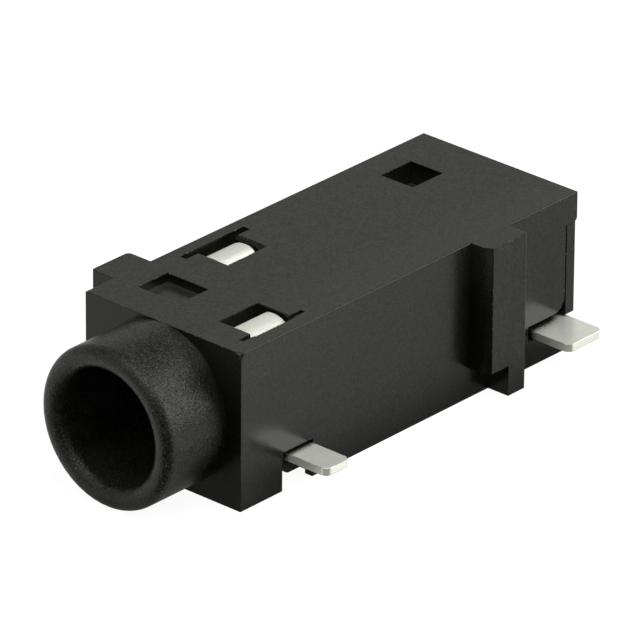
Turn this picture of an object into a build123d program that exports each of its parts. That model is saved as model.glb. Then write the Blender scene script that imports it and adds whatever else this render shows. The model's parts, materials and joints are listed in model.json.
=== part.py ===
from build123d import *
import os

os.makedirs("parts", exist_ok=True)

# Audio jack socket for a 3.5 mm plug, sunk through a cut-out of its board.
# Millimetres. x runs across the socket, y from its front face to the rear, z up.
# The origin is on the plug axis, in the plane of the body's front face.

# Plug
plug_diameter = 3.5
plug_length = 14.0
bore_clearance = 0.05

# Body
body_width = 6.0
body_height = 5.0
body_length = 14.5
edge_round = 0.03
corner_round = 0.3
corner_run_out = 0.12
side_wall = 0.42

# Barrel
barrel_diameter = 5.0
barrel_length = 2.48
barrel_rim_round = 0.3
bore_lip_round = 0.36
guide_window_gap = 0.13
rear_bore_clearance = 0.25
bore_step_length = 0.2

# Sheet-metal contacts
strip_thickness = 0.24
slot_clearance = 0.01
tail_bend_radius = 0.12
pad_corner_round = 0.22
pad_top_height = 1.13

# Spring arch under a top window
arch_width = 1.27
arch_outer_round = 0.7
arch_inner_round = 0.42
arch_depth = 0.06
arch_front_gap = 0.1
arch_rear_gap = 0.1
shoulder_drop = 1.0
leg_foot_height = 1.5
finger_press = 0.38
finger_waist_height = 3.15
finger_waist_bulge = 0.12
finger_waist_bend = 0.8
finger_tip_height = 1.6
finger_tip_flare = 0.5
finger_tip_bend = 0.35

# Side-wall notch under an arch, for the contact's tail
notch_height = 1.22
notch_front_gap = 0.23
notch_rear_gap = 0.07
tail_relief = 0.12
well_foot_step = 0.24
well_foot_round = 0.3

# Sleeve contact, on the right at the front
sleeve_window_front = 1.13
sleeve_window_length = 1.62
sleeve_window_round = 0.03
sleeve_wall_gap = 0.19
sleeve_slot_front_reach = 0.48
sleeve_slot_rear_reach = 0.5
sleeve_pad_front = 1.98
sleeve_pad_width = 1.0
sleeve_pad_reach = 4.49

# Ring contact, on the left behind the sleeve contact
ring_window_front = 4.0
ring_window_length = 1.57
ring_window_round = 0.15
ring_wall_gap = 0.13
ring_slot_front_reach = 0.51
ring_slot_rear_reach = 0.63
ring_pad_front = 4.82
ring_pad_width = 1.0
ring_pad_reach = 4.49

# Lip of the roof over the sleeve contact's slot, which stops the strip when it is pressed in
slot_lip = 0.09
window_lip = 0.05
lip_height = 0.3

# Tip contact, on the right at the rear
tip_pad_front = 12.68
tip_pad_width = 1.5
tip_pad_reach = 4.40
tip_plate_front = 11.65
tip_plate_floor_gap = 0.28
tip_plate_roof_gap = 0.25
tip_root_bend = 0.6
tip_finger_width = 1.2
tip_waist_radius = 1.2
tip_waist_bend = 0.35
tip_waist_from_end = 2.3
tip_flare_length = 0.75
tip_flare = 0.55
tip_pocket_gap = 0.15
tip_notch_front_gap = 0.23
tip_notch_floor_gap = 0.05
tip_notch_roof_gap = 0.21

# Rear chamber and its snap-in cover
cover_thickness = 0.37
seam_gap = 0.05
cover_clearance = 0.03
cover_lip_clearance = 0.01
roof_lip = 0.08
roof_lip_height = 0.93
roof_thickness = 1.05
rear_corner_round = 0.5
tenon_length = 2.1
tenon_wall = 0.6
catch_rise = 0.4
catch_ramp = 0.4

# Catch window in the roof
catch_window_left = -1.96
catch_window_right = -0.72
catch_window_length = 1.33

# Shallow square recess near the front of the roof
recess_left = -2.1
recess_right = -0.5
recess_front = 1.22
recess_rear = 2.46
recess_depth = 0.27

# Lugs that rest on the board, each with a foot that fills a step of the cut-out
lug_rest_height = 0.97
lug_foot_length = 0.75
right_lug_front = 9.84
right_lug_length = 1.63
right_lug_reach = 0.75
right_lug_nose_run = 0.6
right_lug_nose_depth = 0.14
right_lug_rear_round = 0.05
left_lug_front = 1.17
left_lug_length = 1.53
left_lug_reach = 0.85
left_lug_nose = 0.06
left_lug_rear_round = 0.15

# Values that follow from the sizes above
half_width = body_width / 2
top_z = body_height / 2
bottom_z = -body_height / 2
bore_radius = plug_diameter / 2 + bore_clearance
rear_bore_radius = plug_diameter / 2 + rear_bore_clearance
guide_end = sleeve_window_front - guide_window_gap
chamber_front = plug_length - barrel_length
wall_end = body_length - cover_thickness - seam_gap
roof_end = body_length + roof_lip
slot_outer = half_width - side_wall
slot_inner = slot_outer - strip_thickness - 2 * slot_clearance
leg_middle = (slot_outer + slot_inner) / 2
pad_top_z = bottom_z + pad_top_height
pad_middle_z = pad_top_z - strip_thickness / 2
crown_z = top_z - arch_depth
arch_span = arch_width - strip_thickness
finger_root = leg_middle - arch_span
chamber_floor_z = bottom_z + notch_height
chamber_roof_z = top_z - roof_thickness
tip_notch_roof_z = pad_top_z + tip_notch_roof_gap
sleeve_slot_front = sleeve_window_front - sleeve_slot_front_reach
sleeve_window_rear = sleeve_window_front + sleeve_window_length
sleeve_slot_rear = sleeve_window_rear + sleeve_slot_rear_reach
sleeve_pad_rear = sleeve_pad_front + sleeve_pad_width
ring_slot_front = ring_window_front - ring_slot_front_reach
ring_window_rear = ring_window_front + ring_window_length
ring_slot_rear = ring_window_rear + ring_slot_rear_reach
ring_pad_rear = ring_pad_front + ring_pad_width
cover_top_z = top_z - roof_lip_height
cover_bottom_z = pad_top_z + cover_clearance


def block(x_low, x_high, y_low, y_high, z_low, z_high):
    """A box between two corners."""
    corner = Pos(x_low, y_low, z_low)
    size = (x_high - x_low, y_high - y_low, z_high - z_low)
    return corner * Box(*size, align=(Align.MIN, Align.MIN, Align.MIN))


def rounding(x_low, x_high, corner_y, corner_z, middle_y, middle_z):
    """What a rounding takes off an edge along x, from the edge and the arc's middle."""
    y_low, y_high = sorted((corner_y, middle_y))
    z_low, z_high = sorted((corner_z, middle_z))
    corner = block(x_low, x_high, y_low, y_high, z_low, z_high)
    arc_middle = Pos((x_low + x_high) / 2, middle_y, middle_z)
    return corner - arc_middle * Rot(0, 90, 0) * Cylinder(y_high - y_low, x_high - x_low)


def on_side(side, shape):
    """The shape as drawn for the right side, or mirrored to the left."""
    return shape if side > 0 else mirror(shape, about=Plane.YZ)


def barrel():
    """The round nose, with a rounded rim, revolved about the plug axis."""
    outer = barrel_diameter / 2
    rim = barrel_rim_round
    with BuildSketch(Plane.XY) as section:
        with BuildLine():
            Polyline((0, side_wall), (outer, side_wall), (outer, rim - barrel_length))
            RadiusArc((outer, rim - barrel_length), (outer - rim, -barrel_length), rim)
            Polyline((outer - rim, -barrel_length), (0, -barrel_length), (0, side_wall))
        make_face()
    return revolve(section.sketch, axis=Axis.Y)


def plug_bore():
    """The guide with its rounded lip and the wider bore behind, as the solid to be cut away."""
    mouth = -barrel_length
    lip = bore_lip_round
    with BuildSketch(Plane.XY) as section:
        with BuildLine():
            Polyline(
                (0, chamber_front),
                (rear_bore_radius, chamber_front),
                (rear_bore_radius, guide_end + bore_step_length),
                (bore_radius, guide_end),
                (bore_radius, mouth + lip),
            )
            RadiusArc((bore_radius, mouth + lip), (bore_radius + lip, mouth), -lip)
            Polyline((bore_radius + lip, mouth), (0, mouth), (0, chamber_front))
        make_face()
    return revolve(section.sketch, axis=Axis.Y)


def lug(side, front, length, reach, nose_run, nose_depth, rear_round):
    """A side lug: as high as the body at its foot, and stepped to rest on the board before it."""
    outer = half_width + reach
    rear = front + length
    nose_start = (outer - nose_run, front)
    nose_end = (outer, front + nose_depth)
    with BuildSketch() as plan:
        with BuildLine():
            Polyline((0, front), nose_start)
            TangentArc(nose_start, nose_end, tangent=(1, 0))
            Polyline(nose_end, (outer, rear), (0, rear), (0, front))
        make_face()
    whole = Pos(0, 0, bottom_z) * extrude(plan.sketch, body_height)
    rest_z = bottom_z + lug_rest_height
    whole -= block(0, outer, front, rear - lug_foot_length, bottom_z, rest_z)
    outer_edges = whole.edges().filter_by(Axis.Z).group_by(Axis.X)[-1]
    return on_side(side, fillet(outer_edges.group_by(Axis.Y)[-1], rear_round))


def contact_pocket(
    side,
    window_front,
    window_rear,
    window_round,
    wall_gap,
    slot_front,
    slot_rear,
    pad_front,
    pad_rear,
):
    """Everything that one arched contact takes out of the body."""
    pocket_inner = finger_root - strip_thickness / 2 - wall_gap
    notch_front = pad_front - notch_front_gap
    notch_rear = pad_rear + notch_rear_gap
    notch_z = bottom_z + notch_height
    foot_front = window_rear - well_foot_step
    foot_middle = foot_front + well_foot_round
    foot_middle_z = bottom_z + well_foot_round
    roof_middle = window_rear + window_round
    roof_middle_z = top_z - window_round
    cut = block(pocket_inner, slot_outer, window_front, window_rear, notch_z, top_z)
    cut += block(pocket_inner, slot_outer, window_front, foot_front, bottom_z, notch_z)
    cut += block(slot_inner, slot_outer, slot_front, slot_rear, bottom_z, top_z)
    cut += block(slot_outer, half_width, notch_front, notch_rear, bottom_z, notch_z)
    cut += block(slot_inner, slot_outer + tail_relief, slot_front, slot_rear, bottom_z, notch_z)
    cut += rounding(pocket_inner, slot_inner, foot_front, bottom_z, foot_middle, foot_middle_z)
    cut += rounding(pocket_inner, slot_inner, window_rear, top_z, roof_middle, roof_middle_z)
    return on_side(side, cut)


def mouth_lip():
    """The roof's edge over the right slot, set back a little at the window."""
    lip_edge = slot_outer - slot_lip
    low_z = top_z - lip_height
    lip = block(lip_edge, slot_outer, sleeve_slot_front, sleeve_slot_rear, low_z, top_z)
    window_edge = slot_outer - window_lip
    return lip - block(0, window_edge, sleeve_window_front, sleeve_window_rear, bottom_z, top_z)


def tip_pocket():
    """The rear chamber, the tip contact's pocket and the notch for its tail."""
    chamber = block(-slot_outer, slot_outer, chamber_front, roof_end, chamber_floor_z, chamber_roof_z)
    finger_half = tip_finger_width / 2 + tip_pocket_gap
    pocket_front = tip_contact_point_y() - tip_flare_length - tip_pocket_gap
    pocket = block(0, slot_outer, pocket_front, chamber_front, -finger_half, finger_half)
    notch_floor = pad_top_z - strip_thickness - tip_notch_floor_gap
    notch_front = tip_pad_front - tip_notch_front_gap
    notch_left = slot_inner - tail_relief
    notch = block(notch_left, half_width, notch_front, wall_end, notch_floor, tip_notch_roof_z)
    return chamber + pocket + notch


def tip_contact_point_y():
    """Where the tip spring's bend meets the waist behind the plug's tip."""
    return chamber_front - tip_waist_from_end


def body_shell():
    """The outer block, stepped back under the roof lip, whose underside slopes to the cover."""
    outer = block(-half_width, half_width, 0, roof_end, bottom_z, top_z)
    outer = fillet(outer.edges().filter_by(Axis.Y), edge_round)
    outer -= block(-half_width, half_width, wall_end, roof_end, bottom_z, cover_top_z)
    lip_edge = outer.edges().filter_by(Axis.X).group_by(Axis.Y)[-1].group_by(Axis.Z)[0]
    return chamfer(lip_edge, roof_lip)


def corner_face(y, rounding):
    """What a rounding takes off the body's upper right edge, as a face across it."""
    square = Pos(half_width - rounding / 2, top_z - rounding / 2) * Rectangle(rounding, rounding)
    circle = Pos(half_width - rounding, top_z - rounding) * Circle(rounding)
    return (Plane.XZ.offset(-y) * (square - circle)).face()


def dubbed_corner():
    """The softened upper right corner of the front face, fading out along the edge."""
    return loft([corner_face(0, corner_round), corner_face(corner_run_out, edge_round)])


def rounded_wall_corner():
    """The corner taken off the right wall where the tip pad's notch meets the seam."""
    middle_y = wall_end - rear_corner_round
    middle_z = tip_notch_roof_z + rear_corner_round
    return rounding(slot_outer, half_width, wall_end, tip_notch_roof_z, middle_y, middle_z)


def housing():
    """The one-piece moulding: body, barrel, lugs, windows, slots and notches."""
    window_rear = chamber_front + catch_window_length
    catch_window = block(
        catch_window_left, catch_window_right, chamber_front, window_rear, chamber_roof_z, top_z
    )
    recess = block(recess_left, recess_right, recess_front, recess_rear, top_z - recess_depth, top_z)
    solid = body_shell() + barrel()
    solid += lug(
        1,
        right_lug_front,
        right_lug_length,
        right_lug_reach,
        right_lug_nose_run,
        right_lug_nose_depth,
        right_lug_rear_round,
    )
    solid += lug(
        -1,
        left_lug_front,
        left_lug_length,
        left_lug_reach,
        left_lug_nose,
        left_lug_nose,
        left_lug_rear_round,
    )
    solid -= plug_bore()
    solid -= contact_pocket(
        1,
        sleeve_window_front,
        sleeve_window_rear,
        sleeve_window_round,
        sleeve_wall_gap,
        sleeve_slot_front,
        sleeve_slot_rear,
        sleeve_pad_front,
        sleeve_pad_rear,
    )
    solid += mouth_lip()
    solid -= contact_pocket(
        -1,
        ring_window_front,
        ring_window_rear,
        ring_window_round,
        ring_wall_gap,
        ring_slot_front,
        ring_slot_rear,
        ring_pad_front,
        ring_pad_rear,
    )
    solid -= tip_pocket()
    solid -= dubbed_corner()
    solid -= rounded_wall_corner()
    solid -= catch_window
    solid -= recess
    return solid


def strip(path):
    """The sheet's section along a smooth centre line, as a flat face in the path's plane."""
    return Sketch() + [trace(edge, strip_thickness) for edge in path.edges()]


def arched_contact(
    side, window_front, window_rear, slot_front, slot_rear, pad_front, pad_rear, pad_reach
):
    """A stamped strip: pad, seated leg, arch under the window, and spring finger."""
    half_strip = strip_thickness / 2
    tail_bend = tail_bend_radius + half_strip
    outer_bend = arch_outer_round - half_strip
    inner_bend = arch_inner_round - half_strip
    crown_middle_z = crown_z - half_strip
    press_x = plug_diameter / 2 - finger_press + half_strip
    waist_x = (finger_root + press_x) / 2 + finger_waist_bulge
    tip_x = press_x + finger_tip_flare
    path = FilletPolyline(
        (pad_reach, pad_middle_z),
        (leg_middle, pad_middle_z),
        (leg_middle, crown_middle_z),
        (finger_root, crown_middle_z),
        (waist_x, bottom_z + finger_waist_height),
        (press_x, 0),
        (tip_x, bottom_z + finger_tip_height),
        radius=(tail_bend, outer_bend, inner_bend, finger_waist_bend, finger_tip_bend),
    )
    leg_front = slot_front + slot_clearance
    leg_rear = slot_rear - slot_clearance
    leg_top = top_z - shoulder_drop
    spring_front = window_front + arch_front_gap
    spring_rear = window_rear - arch_rear_gap
    foot_z = bottom_z + leg_foot_height
    ribbon = extrude(Plane.XZ * strip(path), -slot_rear)
    spring_zone = block(0, slot_outer, spring_front, spring_rear, foot_z, top_z)
    leg_zone = block(slot_inner, slot_outer, leg_front, leg_rear, foot_z, leg_top)
    tail_zone = block(slot_inner, pad_reach, pad_front, pad_rear, bottom_z, foot_z)
    contact = ribbon & (spring_zone + leg_zone + tail_zone)
    outer_edges = contact.edges().filter_by(Axis.Z).group_by(Axis.X)[-1]
    return on_side(side, fillet(outer_edges, pad_corner_round))


def tip_contact():
    """The rear strip: pad, seated plate and a finger that hooks behind the plug's tip."""
    press_x = tip_waist_radius - strip_thickness
    plate_rear = wall_end - slot_clearance
    contact_y = tip_contact_point_y()
    flare_y = contact_y - tip_flare_length
    plan = FilletPolyline(
        (leg_middle, plate_rear),
        (leg_middle, tip_plate_front),
        (press_x, contact_y),
        (press_x + tip_flare, flare_y),
        radius=(tip_root_bend, tip_waist_bend),
    )
    plate_low = chamber_floor_z + tip_plate_floor_gap
    plate_high = chamber_roof_z - tip_plate_roof_gap
    bend = tail_bend_radius + strip_thickness / 2
    tail = FilletPolyline(
        (tip_pad_reach, pad_middle_z),
        (leg_middle, pad_middle_z),
        (leg_middle, plate_high),
        radius=bend,
    )
    pad_rear = tip_pad_front + tip_pad_width
    ribbon = Pos(0, 0, bottom_z) * extrude(strip(plan), body_height)
    plate_zone = block(slot_inner, slot_outer, tip_plate_front, plate_rear, plate_low, plate_high)
    finger_half = tip_finger_width / 2
    finger_zone = block(0, slot_outer, 0, tip_plate_front, -finger_half, finger_half)
    tail_strip = extrude(Plane.XZ * strip(tail), -pad_rear)
    inner_zone = block(0, half_width, tip_pad_front, plate_rear, bottom_z, plate_low)
    outer_zone = block(slot_outer, tip_pad_reach, tip_pad_front, pad_rear, bottom_z, pad_top_z)
    contact = ribbon & (plate_zone + finger_zone)
    contact += tail_strip & (inner_zone + outer_zone)
    outer_edges = contact.edges().filter_by(Axis.Z).group_by(Axis.X)[-1]
    return fillet(outer_edges, pad_corner_round)


def rear_cover():
    """The plate that closes the rear, with its hollow tenon and snap catch."""
    tenon_rear = wall_end + seam_gap
    plate_high = cover_top_z - cover_lip_clearance
    plate = block(-half_width, half_width, tenon_rear, body_length, cover_bottom_z, plate_high)
    tenon_front = tenon_rear - tenon_length
    tenon_left = -slot_outer + cover_clearance
    tenon_right = slot_inner - cover_clearance
    tenon_low = chamber_floor_z + cover_clearance
    tenon_high = chamber_roof_z - cover_clearance
    tenon = block(tenon_left, tenon_right, tenon_front, tenon_rear, tenon_low, tenon_high)
    hollow = block(
        tenon_left + tenon_wall,
        tenon_right - tenon_wall,
        tenon_front,
        tenon_rear - tenon_wall,
        tenon_low + tenon_wall,
        tenon_high - tenon_wall,
    )
    return plate + tenon - hollow + catch(tenon_high)


def catch(tenon_high):
    """A ramped nib on the tenon that snaps into the roof's window."""
    rear = chamber_front + catch_window_length - cover_clearance
    left = catch_window_left + cover_clearance
    right = catch_window_right - cover_clearance
    high = tenon_high + catch_rise
    front = rear - 2 * catch_ramp
    with BuildSketch(Plane.YZ) as section:
        with BuildLine():
            Polyline(
                (front, tenon_high), (rear, tenon_high), (rear, high), (rear - catch_ramp, high), close=True
            )
        make_face()
    return Pos(left, 0, 0) * extrude(section.sketch, right - left)


nodes = {
    "housing": housing(),
    "sleeve_contact": arched_contact(
        1,
        sleeve_window_front,
        sleeve_window_rear,
        sleeve_slot_front,
        sleeve_slot_rear,
        sleeve_pad_front,
        sleeve_pad_rear,
        sleeve_pad_reach,
    ),
    "ring_contact": arched_contact(
        -1,
        ring_window_front,
        ring_window_rear,
        ring_slot_front,
        ring_slot_rear,
        ring_pad_front,
        ring_pad_rear,
        ring_pad_reach,
    ),
    "tip_contact": tip_contact(),
    "rear_cover": rear_cover(),
}

for name, solid in nodes.items():
    export_step(solid, f"parts/{name}.step")
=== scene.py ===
import json
import math

import bpy
from mathutils import Matrix, Vector


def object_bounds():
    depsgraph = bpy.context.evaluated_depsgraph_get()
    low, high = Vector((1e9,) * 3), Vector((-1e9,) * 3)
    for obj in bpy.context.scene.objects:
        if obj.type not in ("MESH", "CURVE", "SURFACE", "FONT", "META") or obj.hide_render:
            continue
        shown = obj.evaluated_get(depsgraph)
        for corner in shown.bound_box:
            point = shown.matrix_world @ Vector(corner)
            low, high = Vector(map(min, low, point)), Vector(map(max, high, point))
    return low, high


# Materials, floor, studio, lamps and camera for the audio jack socket
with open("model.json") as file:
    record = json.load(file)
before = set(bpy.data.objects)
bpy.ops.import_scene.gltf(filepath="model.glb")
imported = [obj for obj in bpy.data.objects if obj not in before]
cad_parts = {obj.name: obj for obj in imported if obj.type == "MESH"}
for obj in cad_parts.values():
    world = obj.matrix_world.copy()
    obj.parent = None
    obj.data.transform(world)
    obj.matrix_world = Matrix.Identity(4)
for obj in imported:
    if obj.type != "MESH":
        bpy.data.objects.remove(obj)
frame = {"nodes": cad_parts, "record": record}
cad_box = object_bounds()

MM = 0.001
WHITE = (1.0, 1.0, 1.0, 1.0)
FALLING = (1.0, 0.0)

# Camera, as fitted to the photograph's edges
CAMERA_AZIMUTH = 41.701
CAMERA_ELEVATION = 26.097
CAMERA_ROLL = math.radians(0.411)
CAMERA_DISTANCE = 254.07 * MM
CAMERA_LENS = 495.1
CAMERA_CLIP_START = 0.01
CAMERA_CLIP_END = 10.0
AIM_POINT = Vector((0.0, 6.0, 0.0)) * MM
AIM_RIGHT = 0.456 * MM
AIM_UP = 0.376 * MM

# Floor
FLOOR_SIZE = 1.2
FLOOR_COLOUR = (0.72, 0.72, 0.70, 1.0)
FLOOR_WHITE = 1.12
FLOOR_LIFT_SEEN = 0.84
FLOOR_SHADE_REACH = 5.0 * MM
FLOOR_SHADE_OPENNESS = (0.35, 0.95)
FLOOR_SHADE_LIGHT = 0.25
FLOOR_DIM_Y = (6.0 * MM, 22.0 * MM)
FLOOR_DIM_LIGHT = 0.72

# Studio, paler low down, and dark where the camera and its stand are
STUDIO_COLOUR = (0.98, 1.0, 0.88, 1.0)
STUDIO_COLOUR_BELOW = (0.98, 1.0, 0.95, 1.0)
STUDIO_LOW = 0.61
STUDIO_HIGH = 0.20
STUDIO_LOW_TO_HIGH = (0.42, 0.66)
STUDIO_BELOW = 1.04
STUDIO_HORIZON = (-0.12, 0.0)
DARK_AZIMUTH = 48.0
DARK_ELEVATION = -25.0
DARK_CLOSENESS = (0.45, 0.75)
DARK_LIGHT = 0.05
LAMP_DISTANCE = 0.25

# Worn edges and gaps of both materials
SHADING_SAMPLES = 8
EDGE_REACH = 3.0  # in edge radii
EDGE_OPENNESS = (0.88, 0.97)
EDGE_COSINE = (0.90, 0.995)

# Colours of the black plastic: the black, what lies on it, a painted sheen and painted light in
# hollows
PLASTIC_BLACK = (0.0020, 0.0020, 0.0016, 1.0)
PLASTIC_BLOOM = (0.0150, 0.0150, 0.0130, 1.0)
PLASTIC_DUST = (0.0300, 0.0300, 0.0255, 1.0)
# Paler grey painted deep in holes and on sunken floors, as light that lifts their shade
PLASTIC_HOLLOW_LIGHT = (0.030, 0.030, 0.026, 1.0)
# Painted sheen, paler towards the upper right of the body
PLASTIC_PAINTED_SHEEN = (0.05, 0.05, 0.045, 1.0)
PLASTIC_SPECK = (0.11, 0.11, 0.10, 1.0)
PLASTIC_WORN = (0.22, 0.22, 0.19, 1.0)

# Places on the black plastic, by position and by the way that a face looks, with painted shade on
# front faces and a painted sheen towards the upper right
BARREL_ROOT_Y = (-0.06 * MM, -0.02 * MM)
TOP_FACING = (0.6, 0.9)
# Front faces get half the bloom, a painted shade that darkens them
FRONT_FACING = (-0.9, -0.6)
FRONT_SHADE_BLOOM = 0.5
# The painted sheen pales the body towards its upper right
PAINTED_SHEEN_X = (0.3 * MM, 3.0 * MM)
PAINTED_SHEEN_Z = (0.3 * MM, 2.5 * MM)
PAINTED_SHEEN_SHARE = 0.14

# Grain, bloom and dust of the black plastic, with painted shade and painted light in hollows
FINE_GRAIN_PER_MM = 13.0
FINE_GRAIN_DEPTH = 0.0012 * MM
COARSE_GRAIN_PER_MM = 5.0
COARSE_GRAIN_SHARE = 0.4
SPECKLE_GRAIN = (0.58, 0.84)
SPECKLE_SHARE = 0.8
MOTTLE_PER_MM = 0.7
MOTTLE_DETAIL = 4.0
CLOUD_MOTTLE = (0.30, 0.70)
CLOUD_SHARE = 0.2
HOLLOW_REACH = 2.0 * MM
# Bloom thins in hollows, a painted shade that darkens them
HOLLOW_SHADE_OPENNESS = (0.45, 0.95)
BLOOM_IN_HOLLOW_SHADE = 0.25
DUST_PER_MM = 9.0
DUST_SIZE = 0.40
# Paler grey painted deep in holes and on sunken floors, as light that lifts their shade
DEEP_OPENNESS = (0.15, 0.45)
DEEP_SHARE = 0.5
SUNK_OPENNESS = (0.50, 0.97)
SPECKS_PER_MM = 4.0
SPECK_SIZE = 0.13

# Spark pits, chipped edges and gloss of the black plastic
SMALL_PITS_PER_MM = 17.0
SMALL_PIT_SIZE = 0.6
LARGE_PITS_PER_MM = 9.0
LARGE_PIT_SIZE = 0.5
PIT_DEPTH = 0.008 * MM
PLASTIC_EDGE_RADIUS = 0.03 * MM
CHIPS_PER_MM = 6.0
CHIPS_DETAIL = 3.0
CHIPS_RAGGEDNESS = 0.7
CHIPS_NOISE = (0.57, 0.64)
GLOSS_MOTTLE = (0.3, 0.7)
PLASTIC_ROUGHNESS = (0.18, 0.27)
BARREL_EXTRA_ROUGHNESS = 0.12
EDGE_EXTRA_ROUGHNESS = 0.5
PLASTIC_IOR = 1.345

# Colours of the tinned strip, from the tin itself to what shows through it and lies on it, and
# painted shade on the arches and in gaps
TIN_DARKER = (0.86, 0.86, 0.81, 1.0)
TIN_PALER = (0.98, 0.98, 0.92, 1.0)
# Painted shade that darkens the arches' tin against the lamps
TIN_ARCH_SHADE = (0.55, 0.55, 0.51, 1.0)
BARE_BRASS = (0.36, 0.29, 0.18, 1.0)
# In gaps, brown stain that is partly real and partly painted shade; the near-black after it is
# painted shade
BROWN_STAIN_AND_SHADE = (0.25, 0.20, 0.12, 1.0)
GAP_SHADE = (0.02, 0.017, 0.010, 1.0)

# Grain, rolling marks, painted shade on the arches, worn edges, and stain and painted shade in gaps
# of the tinned strip
TIN_DETAIL = 3.0
TIN_GRAIN_PER_MM = 18.0
TIN_MOTTLE_PER_MM = 3.0
ROLLING_PER_MM = 40.0
ROLLING_DETAIL = 1.0
ROLLING_RAGGEDNESS = 0.5
ROLLING_STRETCH = (0.12, 1.0, 0.12)
ROLLING_SHARE = 0.5
TIN_GRAIN_DEPTH = 0.0012 * MM
ARCH_Z = (0.0, 1.5 * MM)
# Share of painted shade on the arches
ARCH_SHADE_SHARE = 0.45
TIN_EDGE_RADIUS = 0.04 * MM
WORN_MOTTLE = (0.45, 0.6)
GAP_REACH = 0.3 * MM
# Ragged edge and depth of the brown stain and painted shade in gaps
STAIN_AND_SHADE_PER_MM = 14.0
STAIN_AND_SHADE_RAGGEDNESS = 0.8
STAIN_AND_SHADE_SHARE = 0.7
STAIN_AND_SHADE_OPENNESS = (0.34, 0.50)
GAP_SHADE_OPENNESS = (0.28, 0.40)

# Satin and bright coats of the tinned strip
SATIN_ROUGHNESS = (0.48, 0.60)
SATIN_METALLIC = 0.2
BRIGHT_ROUGHNESS = 0.31
ARCH_ROUGHNESS = 0.56
BRIGHT_SHARE = 0.62


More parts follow.
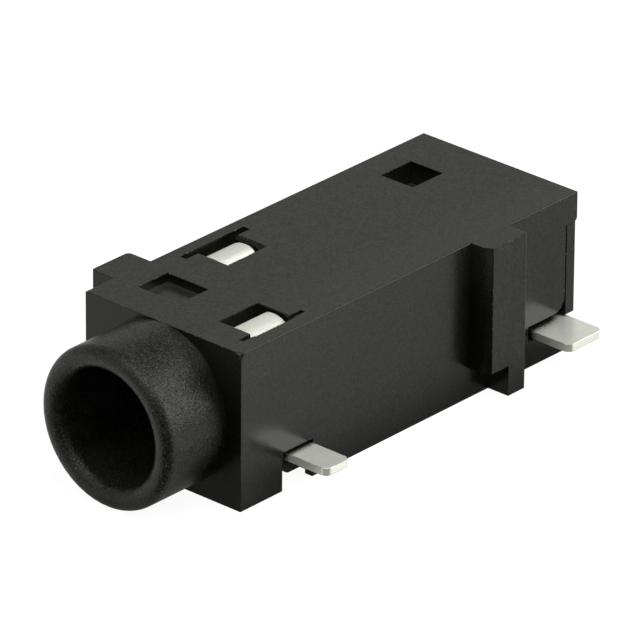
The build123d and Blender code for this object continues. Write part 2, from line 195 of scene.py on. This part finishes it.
class Nodes:
    """The emptied node tree of a material or world, with a short call for each kind of step.
    Each value given to a call is a number, a vector, a colour or the output of another node."""

    def __init__(self, owner):
        owner.use_nodes = True
        self.tree = owner.node_tree
        self.tree.nodes.clear()

    def add(self, kind, **settings):
        """A new node with these settings."""
        node = self.tree.nodes.new(kind)
        for name, setting in settings.items():
            setattr(node, name, setting)
        return node

    def feed(self, socket, value):
        """Links a node's output to the socket, or sets the socket to a plain value."""
        if isinstance(value, bpy.types.NodeSocket):
            self.tree.links.new(value, socket)
        else:
            socket.default_value = value

    def arithmetic(self, operation, first, second):
        """One arithmetic step on two values."""
        step = self.add("ShaderNodeMath", operation=operation)
        self.feed(step.inputs[0], first)
        self.feed(step.inputs[1], second)
        return step.outputs["Value"]

    def times(self, first, second):
        """The product of two values."""
        return self.arithmetic("MULTIPLY", first, second)

    def plus(self, first, second):
        """The sum of two values."""
        return self.arithmetic("ADD", first, second)

    def larger(self, first, second):
        """The larger of two values."""
        return self.arithmetic("MAXIMUM", first, second)

    def dot(self, first, second):
        """The dot product of two vectors."""
        step = self.add("ShaderNodeVectorMath", operation="DOT_PRODUCT")
        self.feed(step.inputs[0], first)
        self.feed(step.inputs[1], second)
        return step.outputs["Value"]

    def split(self, vector):
        """The X, Y and Z of a vector."""
        node = self.add("ShaderNodeSeparateXYZ")
        self.feed(node.inputs["Vector"], vector)
        return node.outputs

    def ramp(self, value, over=(0.0, 1.0), to=(0.0, 1.0)):
        """The value spread from one range to another, clamped and eased at both ends."""
        spread = self.add("ShaderNodeMapRange", interpolation_type="SMOOTHSTEP")
        for name, limit in zip(("From Min", "From Max", "To Min", "To Max"), (*over, *to)):
            self.feed(spread.inputs[name], limit)
        self.feed(spread.inputs["Value"], value)
        return spread.outputs["Result"]

    def noise(self, position, per_mm, detail=2.0, raggedness=0.6):
        """Noise with that many features on a millimetre."""
        texture = self.add("ShaderNodeTexNoise")
        self.feed(texture.inputs["Scale"], per_mm / MM)
        self.feed(texture.inputs["Detail"], detail)
        self.feed(texture.inputs["Roughness"], raggedness)
        self.feed(texture.inputs["Vector"], position)
        return texture.outputs["Fac"]

    def dots(self, position, per_mm, size):
        """Random dots, 1 at their middles, whose size is a share of their spacing."""
        cells = self.add("ShaderNodeTexVoronoi", feature="F1")
        self.feed(cells.inputs["Scale"], per_mm / MM)
        self.feed(cells.inputs["Vector"], position)
        return self.ramp(cells.outputs["Distance"], (0.0, size), FALLING)

    def mix(self, kind, factor, first, second):
        """A mix of two colours or vectors."""
        node = self.add("ShaderNodeMix", data_type=kind)
        self.feed(node.inputs["Factor"], factor)
        ends = [s for s in node.inputs if s.name in ("A", "B") and s.type == kind]
        for socket, value in zip(ends, (first, second)):
            self.feed(socket, value)
        return next(s for s in node.outputs if s.type == kind)

    def layered(self, colour, *layers):
        """A colour with others laid over it in turn, each with the mask of where it lies."""
        for mask, layer in layers:
            colour = self.mix("RGBA", mask, colour, layer)
        return colour

    def openness(self, reach):
        """1 on open faces and outer edges, falling to 0 deep in gaps and inner corners."""
        occlusion = self.add("ShaderNodeAmbientOcclusion", samples=SHADING_SAMPLES)
        self.feed(occlusion.inputs["Distance"], reach)
        return occlusion.outputs["AO"]

    def outer_edges(self, radius):
        """The normal rounded over outer edges only, and a mask of those edges."""
        bevel = self.add("ShaderNodeBevel", samples=SHADING_SAMPLES)
        self.feed(bevel.inputs["Radius"], radius)
        flat = self.add("ShaderNodeNewGeometry").outputs["Normal"]
        is_outer = self.ramp(self.openness(EDGE_REACH * radius), EDGE_OPENNESS)
        rounded = self.mix("VECTOR", is_outer, flat, bevel.outputs["Normal"])
        return rounded, self.ramp(self.dot(rounded, flat), EDGE_COSINE, FALLING)

    def bump(self, height, depth, normal):
        """A normal with relief of that depth in metres on it."""
        node = self.add("ShaderNodeBump")
        self.feed(node.inputs["Strength"], 1.0)
        self.feed(node.inputs["Distance"], depth)
        self.feed(node.inputs["Height"], height)
        self.feed(node.inputs["Normal"], normal)
        return node.outputs["Normal"]

    def coat(self, colour, roughness, normal):
        """A shader of that colour, roughness and relief."""
        shader = self.add("ShaderNodeBsdfPrincipled")
        self.feed(shader.inputs["Base Color"], colour)
        self.feed(shader.inputs["Roughness"], roughness)
        self.feed(shader.inputs["Normal"], normal)
        return shader

    def mix_shaders(self, factor, first, second):
        """Two shaders mixed by a factor."""
        mix = self.add("ShaderNodeMixShader")
        for socket, value in zip(mix.inputs, (factor, first, second)):
            self.feed(socket, value)
        return mix.outputs["Shader"]

    def set_surface(self, kind, shader):
        """Makes a shader the surface of a material or world."""
        self.feed(self.add(kind).inputs["Surface"], shader)


def bearing(azimuth, elevation):
    """The unit vector towards a bearing round the socket, in degrees from its front."""
    turn = math.radians(azimuth)
    rise = math.radians(elevation)
    level = math.cos(rise)
    return Vector((math.sin(turn) * level, -math.cos(turn) * level, math.sin(rise)))


def plastic_relief(nodes, position, fine_grain, on_barrel):
    """The moulding's normal, with fine grain and the barrel's spark pits, and its edge mask."""
    rounded, edge = nodes.outer_edges(PLASTIC_EDGE_RADIUS)
    grained = nodes.bump(fine_grain, FINE_GRAIN_DEPTH, rounded)
    pits = nodes.plus(
        nodes.dots(position, SMALL_PITS_PER_MM, SMALL_PIT_SIZE),
        nodes.dots(position, LARGE_PITS_PER_MM, LARGE_PIT_SIZE),
    )
    return nodes.bump(nodes.times(pits, on_barrel), PIT_DEPTH, grained), edge


def bloom_and_hollow_shade(nodes, position, fine_grain, mottle, open_share):
    """Fine speckle and soft clouds of grey bloom, thinned in hollows as painted shade."""
    coarse_grain = nodes.noise(position, COARSE_GRAIN_PER_MM)
    grain = nodes.plus(fine_grain, nodes.times(coarse_grain, COARSE_GRAIN_SHARE))
    speckle = nodes.ramp(grain, SPECKLE_GRAIN, (0.0, SPECKLE_SHARE))
    cloud = nodes.ramp(mottle, CLOUD_MOTTLE, (0.0, CLOUD_SHARE))
    # Painted shade: less bloom in hollows makes them darker
    painted_hollow_shade = nodes.ramp(open_share, HOLLOW_SHADE_OPENNESS, (BLOOM_IN_HOLLOW_SHADE, 1.0))
    return nodes.times(nodes.plus(speckle, cloud), painted_hollow_shade)


def painted_hollow_light(nodes, open_share, on_top):
    """Paler grey painted deep in holes and on sunken floors, as light that lifts their shade."""
    deep = nodes.ramp(open_share, DEEP_OPENNESS, (DEEP_SHARE, 0.0))
    sunk = nodes.times(on_top, nodes.ramp(open_share, SUNK_OPENNESS, FALLING))
    return nodes.larger(deep, sunk)


def plastic_roughness(nodes, mottle, on_barrel, edge):
    """Satin with soft variation, rougher on the barrel and on edges."""
    smooth = nodes.ramp(mottle, GLOSS_MOTTLE, PLASTIC_ROUGHNESS)
    sparked = nodes.ramp(on_barrel, to=(0.0, BARREL_EXTRA_ROUGHNESS))
    rubbed = nodes.ramp(edge, to=(0.0, EDGE_EXTRA_ROUGHNESS))
    return nodes.plus(nodes.plus(smooth, sparked), rubbed)


def black_plastic():
    """Black moulded plastic: satin faces that mirror what stands near, a sparked barrel, grey
    bloom and dust on the black, painted shade that thins the bloom in hollows and on front faces,
    a painted sheen towards the upper right, paler grey painted in hollows as light, and edges with
    pale chips."""
    material = bpy.data.materials.new("black_plastic_moulded")
    nodes = Nodes(material)
    coordinates = nodes.add("ShaderNodeTexCoord")
    position = coordinates.outputs["Object"]
    place = nodes.split(position)
    facing = nodes.split(coordinates.outputs["Normal"])
    on_barrel = nodes.ramp(place["Y"], BARREL_ROOT_Y, FALLING)
    on_top = nodes.ramp(facing["Z"], TOP_FACING)
    # Painted shade: front faces get half the bloom
    painted_front_shade = nodes.ramp(facing["Y"], FRONT_FACING, (FRONT_SHADE_BLOOM, 1.0))

    fine_grain = nodes.noise(position, FINE_GRAIN_PER_MM)
    mottle = nodes.noise(position, MOTTLE_PER_MM, MOTTLE_DETAIL)
    open_share = nodes.openness(HOLLOW_REACH)
    normal, edge = plastic_relief(nodes, position, fine_grain, on_barrel)

    # Bloom, thinned by painted shade in hollows and on front faces
    bloom_and_painted_shade = nodes.times(
        bloom_and_hollow_shade(nodes, position, fine_grain, mottle, open_share),
        nodes.larger(painted_front_shade, on_barrel),
    )
    dust = nodes.times(nodes.dots(position, DUST_PER_MM, DUST_SIZE), on_top)
    # Painted sheen, paler towards the upper right of the body
    painted_sheen = nodes.times(
        nodes.ramp(place["X"], PAINTED_SHEEN_X, (0.0, PAINTED_SHEEN_SHARE)), nodes.ramp(place["Z"], PAINTED_SHEEN_Z)
    )
    specks = nodes.times(nodes.dots(position, SPECKS_PER_MM, SPECK_SIZE), on_barrel)
    chips = nodes.noise(position, CHIPS_PER_MM, CHIPS_DETAIL, CHIPS_RAGGEDNESS)
    colour = nodes.layered(
        PLASTIC_BLACK,
        (bloom_and_painted_shade, PLASTIC_BLOOM),
        (dust, PLASTIC_DUST),
        # Paler grey painted in hollows as light
        (painted_hollow_light(nodes, open_share, on_top), PLASTIC_HOLLOW_LIGHT),
        (painted_sheen, PLASTIC_PAINTED_SHEEN),
        (specks, PLASTIC_SPECK),
        (nodes.times(edge, nodes.ramp(chips, CHIPS_NOISE)), PLASTIC_WORN),
    )

    shader = nodes.coat(colour, plastic_roughness(nodes, mottle, on_barrel, edge), normal)
    nodes.feed(shader.inputs["IOR"], PLASTIC_IOR)
    nodes.set_surface("ShaderNodeOutputMaterial", shader.outputs["BSDF"])
    return material


def strip_relief(nodes, position):
    """The strip's normal, with fine grain and rolling marks that run across y, and its edge mask."""
    grain = nodes.noise(position, TIN_GRAIN_PER_MM, TIN_DETAIL)
    stretch = nodes.add("ShaderNodeMapping")
    nodes.feed(stretch.inputs["Scale"], ROLLING_STRETCH)
    nodes.feed(stretch.inputs["Vector"], position)
    rolling = nodes.noise(
        stretch.outputs["Vector"], ROLLING_PER_MM, ROLLING_DETAIL, ROLLING_RAGGEDNESS
    )
    rounded, edge = nodes.outer_edges(TIN_EDGE_RADIUS)
    height = nodes.plus(grain, nodes.times(rolling, ROLLING_SHARE))
    return nodes.bump(height, TIN_GRAIN_DEPTH, rounded), edge


def strip_colour(nodes, position, mottle, edge, on_arch):
    """Mottled tin, darker on the arches as painted shade, with bare brass on edges, and in gaps
    brown stain, partly real and partly painted shade, and near-black painted shade.
    """
    ragged = nodes.noise(position, STAIN_AND_SHADE_PER_MM, TIN_DETAIL, STAIN_AND_SHADE_RAGGEDNESS)
    open_part = nodes.arithmetic(
        "SUBTRACT", nodes.openness(GAP_REACH), nodes.times(ragged, STAIN_AND_SHADE_SHARE)
    )
    return nodes.layered(
        TIN_DARKER,
        (mottle, TIN_PALER),
        # Painted shade on the arches
        (nodes.times(on_arch, ARCH_SHADE_SHARE), TIN_ARCH_SHADE),
        (nodes.times(edge, nodes.ramp(mottle, WORN_MOTTLE)), BARE_BRASS),
        # In gaps, brown stain that is partly painted shade, then near-black painted shade
        (nodes.ramp(open_part, STAIN_AND_SHADE_OPENNESS, FALLING), BROWN_STAIN_AND_SHADE),
        (nodes.ramp(open_part, GAP_SHADE_OPENNESS, FALLING), GAP_SHADE),
    )


def tinned_strip():
    """Tin-plated brass strip: a satin coat mixed with a brighter one that is rougher on the
    arches."""
    material = bpy.data.materials.new("tinned_strip_satin")
    nodes = Nodes(material)
    position = nodes.add("ShaderNodeTexCoord").outputs["Object"]
    mottle = nodes.noise(position, TIN_MOTTLE_PER_MM, TIN_DETAIL)
    on_arch = nodes.ramp(nodes.split(position)["Z"], ARCH_Z)
    normal, edge = strip_relief(nodes, position)
    colour = strip_colour(nodes, position, mottle, edge, on_arch)

    satin = nodes.coat(colour, nodes.ramp(mottle, GLOSS_MOTTLE, SATIN_ROUGHNESS), normal)
    nodes.feed(satin.inputs["Metallic"], SATIN_METALLIC)
    bright_roughness = nodes.ramp(on_arch, to=(BRIGHT_ROUGHNESS, ARCH_ROUGHNESS))
    bright = nodes.coat(colour, bright_roughness, normal)
    nodes.feed(bright.inputs["Metallic"], 1.0)
    coats = nodes.mix_shaders(BRIGHT_SHARE, satin.outputs["BSDF"], bright.outputs["BSDF"])
    nodes.set_surface("ShaderNodeOutputMaterial", coats)
    return material


def pale_floor():
    """The floor's material: white to the camera but for the shadow, and where it is mirrored,
    the studio's light through it, shaded near the socket and dimmer towards the rear."""
    material = bpy.data.materials.new("pale_floor")
    nodes = Nodes(material)
    rays = nodes.add("ShaderNodeLightPath").outputs
    seen = nodes.times(rays["Is Camera Ray"], FLOOR_LIFT_SEEN)
    mirrored = nodes.larger(rays["Is Glossy Ray"], rays["Is Transmission Ray"])

    diffuse = nodes.add("ShaderNodeBsdfDiffuse")
    nodes.feed(diffuse.inputs["Color"], FLOOR_COLOUR)
    white = nodes.add("ShaderNodeEmission")
    nodes.feed(white.inputs["Color"], WHITE)
    nodes.feed(white.inputs["Strength"], FLOOR_WHITE)

    place = nodes.split(nodes.add("ShaderNodeTexCoord").outputs["Object"])
    shaded = nodes.ramp(
        nodes.openness(FLOOR_SHADE_REACH), FLOOR_SHADE_OPENNESS, (FLOOR_SHADE_LIGHT, 1.0)
    )
    dimmed = nodes.ramp(place["Y"], FLOOR_DIM_Y, (1.0, FLOOR_DIM_LIGHT))
    through = nodes.add("ShaderNodeBsdfTransparent")
    nodes.feed(through.inputs["Color"], nodes.times(shaded, dimmed))

    direct = nodes.mix_shaders(seen, diffuse.outputs["BSDF"], white.outputs["Emission"])
    surface = nodes.mix_shaders(mirrored, direct, through.outputs["BSDF"])
    nodes.set_surface("ShaderNodeOutputMaterial", surface)
    return material


def floor():
    """A square floor at the height of the socket's underside."""
    half = FLOOR_SIZE / 2
    height = cad_box[0].z
    corners = [(-half, -half), (half, -half), (half, half), (-half, half)]
    mesh = bpy.data.meshes.new("floor")
    mesh.from_pydata([(x, y, height) for x, y in corners], [], [(0, 1, 2, 3)])
    mesh.materials.append(pale_floor())
    plane = bpy.data.objects.new("floor", mesh)
    bpy.context.scene.collection.objects.link(plane)


def studio():
    """Soft light from all round: palest below and low down, and dark low on the camera's side."""
    surroundings = bpy.data.worlds.new("studio")
    bpy.context.scene.world = surroundings
    nodes = Nodes(surroundings)
    direction = nodes.add("ShaderNodeTexCoord").outputs["Generated"]
    height = nodes.split(direction)["Z"]
    above = nodes.ramp(height, STUDIO_LOW_TO_HIGH, (STUDIO_LOW, STUDIO_HIGH))
    is_below = nodes.ramp(height, STUDIO_HORIZON, FALLING)
    light = nodes.plus(above, nodes.times(is_below, STUDIO_BELOW - STUDIO_LOW))
    closeness = nodes.dot(direction, bearing(DARK_AZIMUTH, DARK_ELEVATION))
    lit = nodes.ramp(closeness, DARK_CLOSENESS, (1.0, DARK_LIGHT))
    background = nodes.add("ShaderNodeBackground")
    nodes.feed(
        background.inputs["Color"],
        nodes.mix("RGBA", is_below, STUDIO_COLOUR, STUDIO_COLOUR_BELOW),
    )
    nodes.feed(background.inputs["Strength"], nodes.times(light, lit))
    nodes.set_surface("ShaderNodeOutputWorld", background.outputs["Background"])


def softbox(name, azimuth, elevation, size, radiance):
    """A square area lamp of that brightness at a bearing round the socket, aimed at its middle."""
    lamp = bpy.data.lights.new(name, "AREA")
    lamp.shape = "SQUARE"
    lamp.size = size
    lamp.energy = radiance * math.pi * size * size
    back = bearing(azimuth, elevation)
    holder = bpy.data.objects.new(name, lamp)
    holder.location = AIM_POINT + back * LAMP_DISTANCE
    holder.rotation_euler = back.to_track_quat("Z", "Y").to_euler()
    bpy.context.scene.collection.objects.link(holder)


def camera():
    """The camera at the photograph's angle."""
    back = bearing(CAMERA_AZIMUTH, CAMERA_ELEVATION)
    level_right = Vector((0, 0, 1)).cross(back).normalized()
    level_up = back.cross(level_right)
    right = level_right * math.cos(CAMERA_ROLL) + level_up * math.sin(CAMERA_ROLL)
    up = back.cross(right)
    holder = bpy.data.objects.new("camera", bpy.data.cameras.new("camera"))
    place = AIM_POINT + right * AIM_RIGHT + up * AIM_UP + back * CAMERA_DISTANCE
    turn = Matrix((right, up, back)).transposed().to_4x4()
    holder.matrix_world = Matrix.Translation(place) @ turn
    holder.data.lens = CAMERA_LENS
    holder.data.clip_start = CAMERA_CLIP_START
    holder.data.clip_end = CAMERA_CLIP_END
    bpy.context.scene.collection.objects.link(holder)
    bpy.context.scene.camera = holder


bpy.context.scene.view_settings.view_transform = "Standard"
camera()
studio()
floor()
softbox("key_rear_right", azimuth=140, elevation=24, size=0.20, radiance=3.5)
softbox("above_right", azimuth=85, elevation=72, size=0.20, radiance=3.1)
softbox("above_front", azimuth=0, elevation=50, size=0.24, radiance=1.2)

materials = {"black_plastic": black_plastic(), "tinned_brass": tinned_strip()}
for subpart in frame["record"]["subparts"]:
    piece = frame["nodes"][subpart["node"]]
    piece.material_slots[0].material = materials[subpart["material_slot"]]
